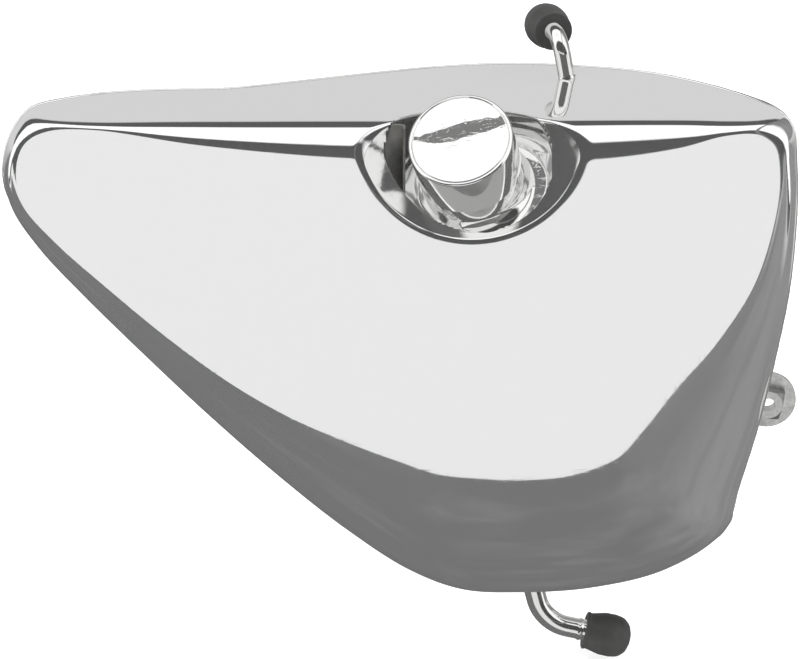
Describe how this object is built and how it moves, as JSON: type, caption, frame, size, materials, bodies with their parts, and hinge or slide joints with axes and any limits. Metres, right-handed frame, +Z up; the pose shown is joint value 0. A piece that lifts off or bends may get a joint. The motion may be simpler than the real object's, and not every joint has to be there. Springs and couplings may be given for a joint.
{
  "type": "motorcycle side tank",
  "caption": "Chromed wedge-shaped steel side tank with a filler recess and lift-out capped dipstick, bent hose nipples with rubber blanking caps, and a tabbed mount.",
  "frame": {"origin": "centre of the threaded hole of the square nut on the front mounting tab", "axes": "+X along the tank towards its deep end, +Y from the chromed outer face towards the motorcycle's frame, +Z up"},
  "size_m": [0.391, 0.1439, 0.335],
  "materials": {
    "body_chrome": "mirror chrome with fine polishing marks",
    "cap_chrome": "mirror chrome",
    "tube_chrome": "bright chrome",
    "cap_rubber": "matt moulded rubber",
    "seal_rubber": "nitrile, satin",
    "plug_alloy": "turned",
    "zinc_steel": "zinc plated, speckled",
    "inner_steel": "bare steel",
    "gauze": "woven gauze"
  },
  "bodies": {
    "tank": {"outer_shell": "body_chrome", "filler_dish": "body_chrome", "back_panel": "body_chrome", "filler_neck": "body_chrome", "vent_tube": "tube_chrome", "feed_tube": "tube_chrome", "return_nipple": "tube_chrome", "vent_bung": "inner_steel", "feed_bung": "inner_steel", "return_bung": "body_chrome", "vent_splash_cup": "inner_steel", "feed_strainer": "gauze", "return_deflector": "inner_steel", "front_mount_tab": "zinc_steel", "front_mount_nut": "zinc_steel", "rear_mount_boss": "zinc_steel", "lower_mount_boss": "zinc_steel", "baffle_plate": "inner_steel"},
    "filler_cap": {"cap_gasket": "seal_rubber", "cap_shell": "cap_chrome", "cap_plug": "plug_alloy", "cap_o_rings": "seal_rubber", "dipstick": "inner_steel", "dipstick_pin": "inner_steel"},
    "vent_blank": {"vent_cap": "cap_rubber"},
    "feed_blank": {"feed_cap": "cap_rubber"},
    "return_blank": {"return_cap": "cap_rubber"}
  },
  "joints": [
    {"name": "cap_lift", "type": "slide", "parent": "tank", "child": "filler_cap", "axis": [-0.18, -0.64, 0.747], "range_m": [0, 0.155]},
    {"name": "vent_cap_pull", "type": "slide", "parent": "tank", "child": "vent_blank", "axis": [-0.235, 0.9701, -0.06], "range_m": [0, 0.03]},
    {"name": "feed_cap_pull", "type": "slide", "parent": "tank", "child": "feed_blank", "axis": [0.9755, 0, -0.2199], "range_m": [0, 0.03]},
    {"name": "return_cap_pull", "type": "slide", "parent": "tank", "child": "return_blank", "axis": [0.4239, 0.6898, -0.5869], "range_m": [0, 0.03]}
  ]
}
